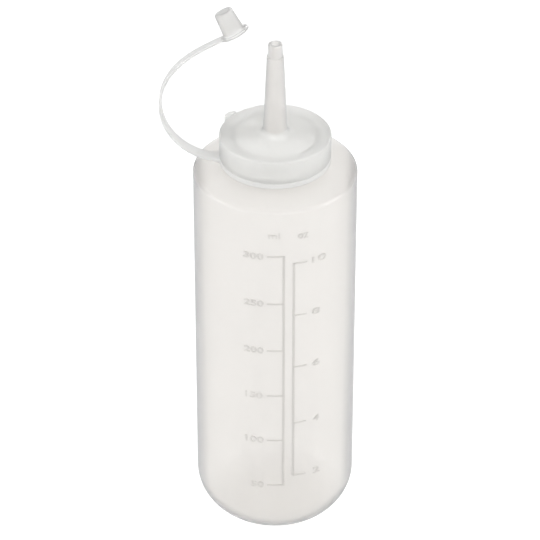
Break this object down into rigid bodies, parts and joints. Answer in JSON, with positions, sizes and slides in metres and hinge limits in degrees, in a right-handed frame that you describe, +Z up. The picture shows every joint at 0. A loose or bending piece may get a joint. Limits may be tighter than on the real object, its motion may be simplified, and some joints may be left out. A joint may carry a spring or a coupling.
{
  "type": "dispensing bottle",
  "caption": "Frosted squeeze bottle with a measuring scale, a screw cap with a tapered nozzle, and a tip cap on a flexible strap.",
  "frame": {"origin": "centre of the flat underside of the base, on the bottle's axis", "axes": "+Z up along the bottle's axis, -X towards the strap, -Y towards the scale"},
  "size_m": [0.0695, 0.058, 0.2118],
  "materials": {
    "bottle_plastic": "frosted, translucent low-density polyethylene",
    "cap_plastic": "smooth, translucent polyethylene with a soft sheen",
    "tether_plastic": "smooth, translucent polyethylene with a soft sheen"
  },
  "bodies": {
    "bottle": {"bottle_body": "bottle_plastic"},
    "tether_ring": {"tether_ring": "tether_plastic"},
    "screw_cap": {"screw_cap": "cap_plastic"},
    "strap_link_01": {"strap_link_01": "tether_plastic"},
    "strap_link_02": {"strap_link_02": "tether_plastic"},
    "strap_link_03": {"strap_link_03": "tether_plastic"},
    "strap_link_04": {"strap_link_04": "tether_plastic"},
    "strap_link_05": {"strap_link_05": "tether_plastic"},
    "strap_link_06": {"strap_link_06": "tether_plastic"},
    "strap_link_07": {"strap_link_07": "tether_plastic"},
    "strap_link_08": {"strap_link_08": "tether_plastic"},
    "strap_link_09": {"strap_link_09": "tether_plastic"},
    "tip_cap": {"tip_cap": "tether_plastic"}
  },
  "joints": [
    {"name": "cap_lift", "type": "slide", "parent": "bottle", "child": "tether_ring", "axis": [0, 0, 1], "range_m": [0, 0.00952]},
    {"name": "cap_turn", "type": "hinge", "parent": "tether_ring", "child": "screw_cap", "pos_m": [0, 0, 0.1522], "axis": [0, 0, 1], "range_deg": [0, 810.5]},
    {"name": "tip_cap_press", "type": "hinge", "parent": "tether_ring", "child": "strap_link_01", "pos_m": [-0.02366, 0, 0.15271], "axis": [0, -1, 0], "range_deg": [0, 25.67], "stiffness_Nm_per_rad": 0.005},
    {"name": "tether_swing", "type": "hinge", "parent": "strap_link_01", "child": "strap_link_02", "pos_m": [-0.02984, 0, 0.15546], "axis": [0.0231, 0.9996, -0.0151], "range_deg": [-30.7, 30.69], "stiffness_Nm_per_rad": 0.005},
    {"name": "strap_bend_02", "type": "hinge", "parent": "strap_link_02", "child": "strap_link_03", "pos_m": [-0.0349, 0, 0.15996], "axis": [0.122, 0.9817, -0.1464], "range_deg": [-2.46, 2.46]},
    {"name": "strap_bend_03", "type": "hinge", "parent": "strap_link_03", "child": "strap_link_04", "pos_m": [-0.03841, 0, 0.16576], "axis": [-0.0099, 0.9998, -0.0193], "range_deg": [0, 28.71]},
    {"name": "strap_bend_04", "type": "hinge", "parent": "strap_link_04", "child": "strap_link_05", "pos_m": [-0.03996, 0, 0.17235], "axis": [-0.0099, 0.9998, -0.0193], "range_deg": [0, 20.05]},
    {"name": "strap_bend_05", "type": "hinge", "parent": "strap_link_05", "child": "strap_link_06", "pos_m": [-0.03935, 0, 0.1791], "axis": [0.0155, 0.9969, -0.0768], "range_deg": [-23.87, 23.88]},
    {"name": "strap_bend_06", "type": "hinge", "parent": "strap_link_06", "child": "strap_link_07", "pos_m": [-0.0367, 0, 0.18533], "axis": [0.0458, 0.9961, -0.076], "range_deg": [-20.91, 20.92]},
    {"name": "strap_bend_07", "type": "hinge", "parent": "strap_link_07", "child": "strap_link_08", "pos_m": [-0.03244, 0, 0.19061], "axis": [0.0395, 0.9992, -0.0072], "range_deg": [-23.05, 0]},
    {"name": "strap_bend_08", "type": "hinge", "parent": "strap_link_08", "child": "strap_link_09", "pos_m": [-0.02714, 0, 0.19484], "axis": [0.43, 0.8972, 0.1008], "range_deg": [-12.18, 12.17]},
    {"name": "tip_cap_bend", "type": "hinge", "parent": "strap_link_09", "child": "tip_cap", "pos_m": [-0.02129, 0, 0.19832], "axis": [0.2521, 0.9642, -0.0826], "range_deg": [-29.19, 29.17]}
  ],
  "couplings": [
    {"joint": "cap_turn", "follows": "cap_lift", "rad_per_m": 1485.4},
    {"joint": "strap_bend_02", "follows": "tether_swing", "ratio": 0.078523},
    {"joint": "strap_bend_03", "follows": "tip_cap_press", "ratio": 1.1167},
    {"joint": "strap_bend_04", "follows": "tip_cap_press", "ratio": 0.77914},
    {"joint": "strap_bend_05", "follows": "tether_swing", "ratio": -0.77635},
    {"joint": "strap_bend_06", "follows": "tether_swing", "ratio": -0.67966},
    {"joint": "strap_bend_07", "follows": "tip_cap_press", "ratio": -0.89584},
    {"joint": "strap_bend_08", "follows": "tether_swing", "ratio": 0.39505},
    {"joint": "tip_cap_bend", "follows": "tether_swing", "ratio": 0.94911}
  ]
}
